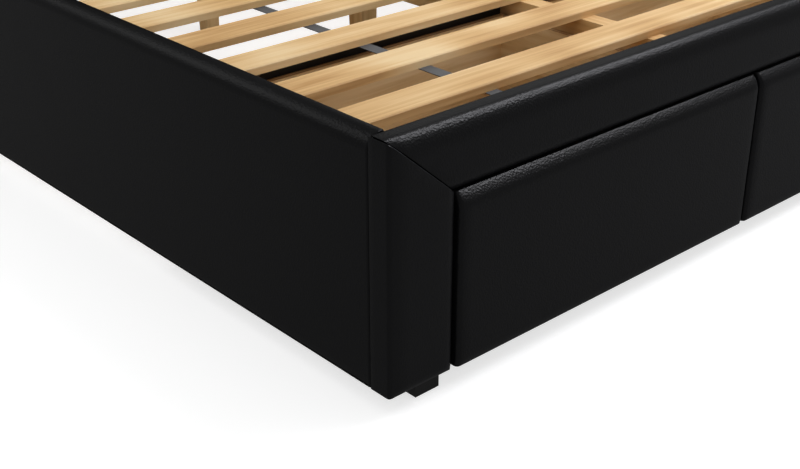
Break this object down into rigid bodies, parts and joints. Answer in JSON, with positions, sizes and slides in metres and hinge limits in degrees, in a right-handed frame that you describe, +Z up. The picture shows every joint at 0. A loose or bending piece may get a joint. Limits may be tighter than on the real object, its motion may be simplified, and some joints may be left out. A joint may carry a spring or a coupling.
{
  "type": "platform bed with storage drawers",
  "caption": "Queen-size upholstered platform bed with a slatted deck, a panelled headboard and drawers on telescopic slides in the footboard.",
  "frame": {"origin": "on the floor, in the middle of the bed's outline", "axes": "+X to the right as seen from the foot, +Y from the foot to the headboard, +Z up"},
  "size_m": [1.59, 2.16, 1.12],
  "materials": {
    "black_plastic": "moulded polypropylene",
    "black_steel": "black powder coat",
    "cage_steel": "pressed steel cage with steel balls",
    "foiled_board": "particle board with black foil",
    "leatherette": "bonded leather, satin, fine grain",
    "particle_board": "raw particle board",
    "plywood": "birch plywood, clear lacquer",
    "softwood": "planed pine",
    "webbing": "woven polyester strap",
    "zinc": "zinc-plated steel"
  },
  "bodies": {
    "bed_frame": {"beam_hanger": "black_steel", "beam_legs": "softwood", "block_feet": "black_plastic", "bracket_bolts": "zinc", "carcass_back": "foiled_board", "carcass_partition": "foiled_board", "centre_beam": "softwood", "corner_brackets": "black_steel", "foot_top_rail_board": "particle_board", "foot_top_rail_cover": "leatherette", "front_stretcher": "foiled_board", "headboard_lower_left_pad": "leatherette", "headboard_lower_right_pad": "leatherette", "headboard_panel": "particle_board", "headboard_top_border": "leatherette", "headboard_upper_left_pad": "leatherette", "headboard_upper_right_pad": "leatherette", "left_carcass_side": "foiled_board", "left_foot_post_board": "particle_board", "left_foot_post_cover": "leatherette", "left_headboard_border": "leatherette", "left_headboard_leg": "softwood", "left_side_rail_board": "particle_board", "left_side_rail_cover": "leatherette", "left_slat_ledger": "softwood", "left_slide_outers": "zinc", "rear_stretcher": "foiled_board", "right_carcass_side": "foiled_board", "right_foot_post_board": "particle_board", "right_foot_post_cover": "leatherette", "right_headboard_border": "leatherette", "right_headboard_leg": "softwood", "right_side_rail_board": "particle_board", "right_side_rail_cover": "leatherette", "right_slat_ledger": "softwood", "right_slide_outers": "zinc", "slat_webbing": "webbing", "slats": "softwood"},
    "left_drawer": {"left_drawer_bottom": "plywood", "left_drawer_box_back": "plywood", "left_drawer_box_front": "plywood", "left_drawer_front_board": "particle_board", "left_drawer_front_cover": "leatherette", "left_drawer_inner_side": "plywood", "left_drawer_outer_side": "plywood", "left_slide_inners": "zinc"},
    "left_slide_middles": {"left_slide_middles": "zinc"},
    "left_slide_outer_cages": {"left_slide_outer_cages": "cage_steel"},
    "left_slide_inner_cages": {"left_slide_inner_cages": "cage_steel"},
    "right_drawer": {"right_drawer_bottom": "plywood", "right_drawer_box_back": "plywood", "right_drawer_box_front": "plywood", "right_drawer_front_board": "particle_board", "right_drawer_front_cover": "leatherette", "right_drawer_inner_side": "plywood", "right_drawer_outer_side": "plywood", "right_slide_inners": "zinc"},
    "right_slide_middles": {"right_slide_middles": "zinc"},
    "right_slide_outer_cages": {"right_slide_outer_cages": "cage_steel"},
    "right_slide_inner_cages": {"right_slide_inner_cages": "cage_steel"}
  },
  "joints": [
    {"name": "left_drawer_slide", "type": "slide", "parent": "bed_frame", "child": "left_drawer", "axis": [0, -1, 0], "range_m": [0, 0.46]},
    {"name": "left_slide_middles_slide", "type": "slide", "parent": "bed_frame", "child": "left_slide_middles", "axis": [0, -1, 0], "range_m": [0, 0.23]},
    {"name": "left_slide_outer_cages_slide", "type": "slide", "parent": "bed_frame", "child": "left_slide_outer_cages", "axis": [0, -1, 0], "range_m": [0, 0.115]},
    {"name": "left_slide_inner_cages_slide", "type": "slide", "parent": "bed_frame", "child": "left_slide_inner_cages", "axis": [0, -1, 0], "range_m": [0, 0.345]},
    {"name": "right_drawer_slide", "type": "slide", "parent": "bed_frame", "child": "right_drawer", "axis": [0, -1, 0], "range_m": [0, 0.46]},
    {"name": "right_slide_middles_slide", "type": "slide", "parent": "bed_frame", "child": "right_slide_middles", "axis": [0, -1, 0], "range_m": [0, 0.23]},
    {"name": "right_slide_outer_cages_slide", "type": "slide", "parent": "bed_frame", "child": "right_slide_outer_cages", "axis": [0, -1, 0], "range_m": [0, 0.115]},
    {"name": "right_slide_inner_cages_slide", "type": "slide", "parent": "bed_frame", "child": "right_slide_inner_cages", "axis": [0, -1, 0], "range_m": [0, 0.345]}
  ],
  "couplings": [
    {"joint": "left_slide_middles_slide", "follows": "left_drawer_slide", "ratio": 0.5},
    {"joint": "left_slide_outer_cages_slide", "follows": "left_drawer_slide", "ratio": 0.25},
    {"joint": "left_slide_inner_cages_slide", "follows": "left_drawer_slide", "ratio": 0.75},
    {"joint": "right_slide_middles_slide", "follows": "right_drawer_slide", "ratio": 0.5},
    {"joint": "right_slide_outer_cages_slide", "follows": "right_drawer_slide", "ratio": 0.25},
    {"joint": "right_slide_inner_cages_slide", "follows": "right_drawer_slide", "ratio": 0.75}
  ]
}
